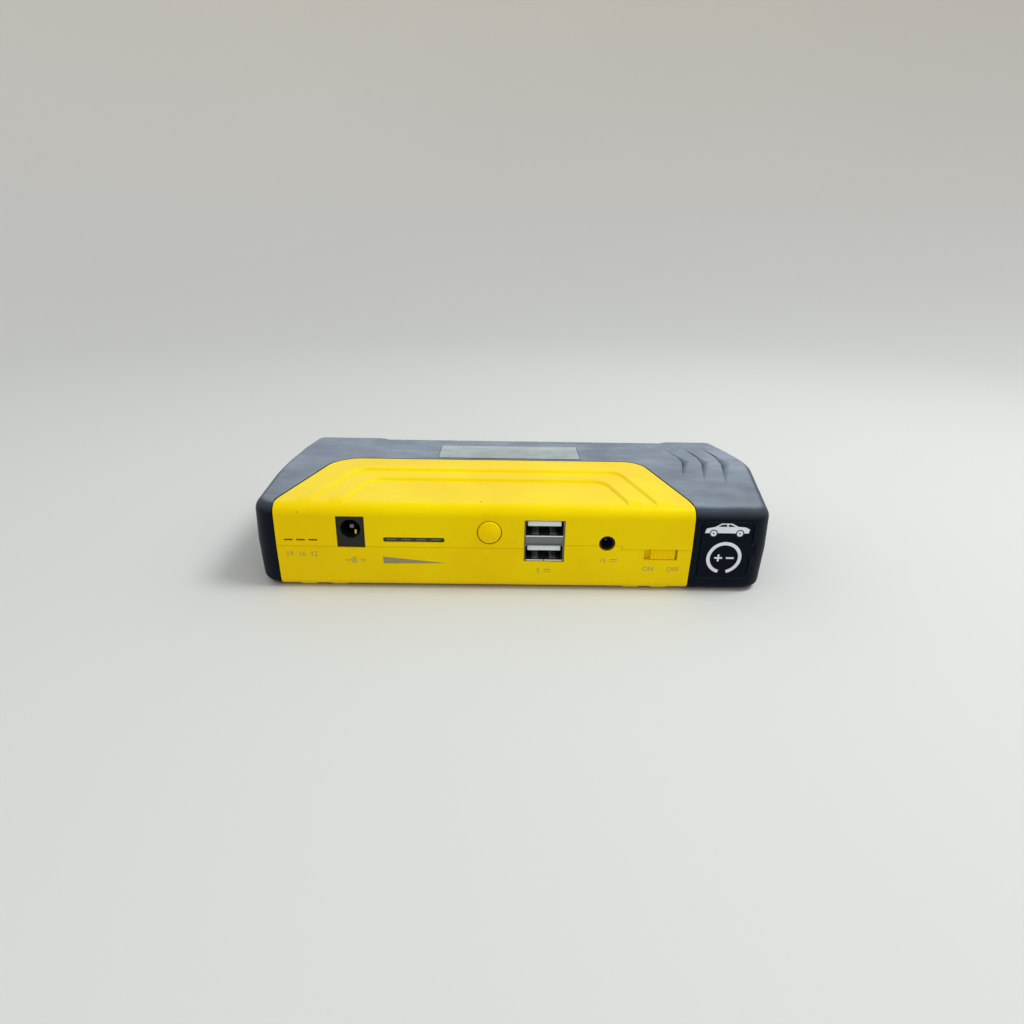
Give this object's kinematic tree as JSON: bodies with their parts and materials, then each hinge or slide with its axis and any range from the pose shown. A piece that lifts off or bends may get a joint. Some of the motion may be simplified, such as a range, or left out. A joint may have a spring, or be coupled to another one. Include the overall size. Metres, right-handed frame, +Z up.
{
  "type": "jump starter pack",
  "caption": "Flat lithium jump starter pack in black shells with a ribbed yellow front panel, front sockets, slide switch, button and a hinged rubber socket cover.",
  "frame": {"origin": "middle of the underside, on the plane that it lies on", "axes": "+X along the length towards the engine start socket, -Y out of the front with the sockets, +Z up"},
  "size_m": [0.1842, 0.0808, 0.031],
  "materials": {
    "black_plastic": "matt, fine grain",
    "yellow_plastic": "smooth satin",
    "label": "matt",
    "button_plastic": "satin",
    "jack_plastic": "satin",
    "switch_can": "plain",
    "contact_metal": "plated",
    "sheet_steel": "nickel plated",
    "white_plastic": "smooth",
    "smoked_window": "smooth",
    "black_rubber": "matt",
    "blue_plastic": "matt",
    "clear_lens": "clear",
    "reflector": "bright",
    "cell_foil": "matt foil",
    "foam": "foam",
    "board": "solder mask",
    "screw_steel": "zinc plated"
  },
  "bodies": {
    "case": {"upper_housing": "black_plastic", "lower_housing": "black_plastic", "upper_front_panel": "yellow_plastic", "lower_front_panel": "yellow_plastic", "label_plate": "label", "button_switch": "switch_can", "slide_switch": "switch_can", "dc_output_jack": "jack_plastic", "dc_output_contacts": "contact_metal", "usb_shell": "sheet_steel", "usb_tongues": "white_plastic", "usb_contacts": "contact_metal", "dc_input_jack": "jack_plastic", "dc_input_pin": "sheet_steel", "level_window": "smoked_window", "level_lights": "white_plastic", "voltage_lights": "white_plastic", "engine_start_socket": "blue_plastic", "socket_contacts": "contact_metal", "torch_lens": "clear_lens", "torch_reflector": "reflector", "torch_light": "white_plastic", "battery_cells": "cell_foil", "cell_pads": "foam", "battery_leads": "contact_metal", "main_board": "board", "output_board": "board", "indicator_board": "board", "board_parts": "jack_plastic", "housing_screws": "screw_steel"},
    "button": {"power_button": "button_plastic"},
    "knob": {"switch_knob": "button_plastic"},
    "cover": {"engine_start_cover": "black_rubber"}
  },
  "joints": [
    {"name": "button_press", "type": "slide", "parent": "case", "child": "button", "axis": [0, 1, 0], "range_m": [0, 0.0006], "stiffness_N_per_m": 2000},
    {"name": "switch_slide", "type": "slide", "parent": "case", "child": "knob", "axis": [-1, 0, 0], "range_m": [0, 0.002]},
    {"name": "cover_hinge", "type": "hinge", "parent": "case", "child": "cover", "pos_m": [0.06, -0.0401, 0.0157], "axis": [0, 0, -1], "range_deg": [0, 115]}
  ]
}
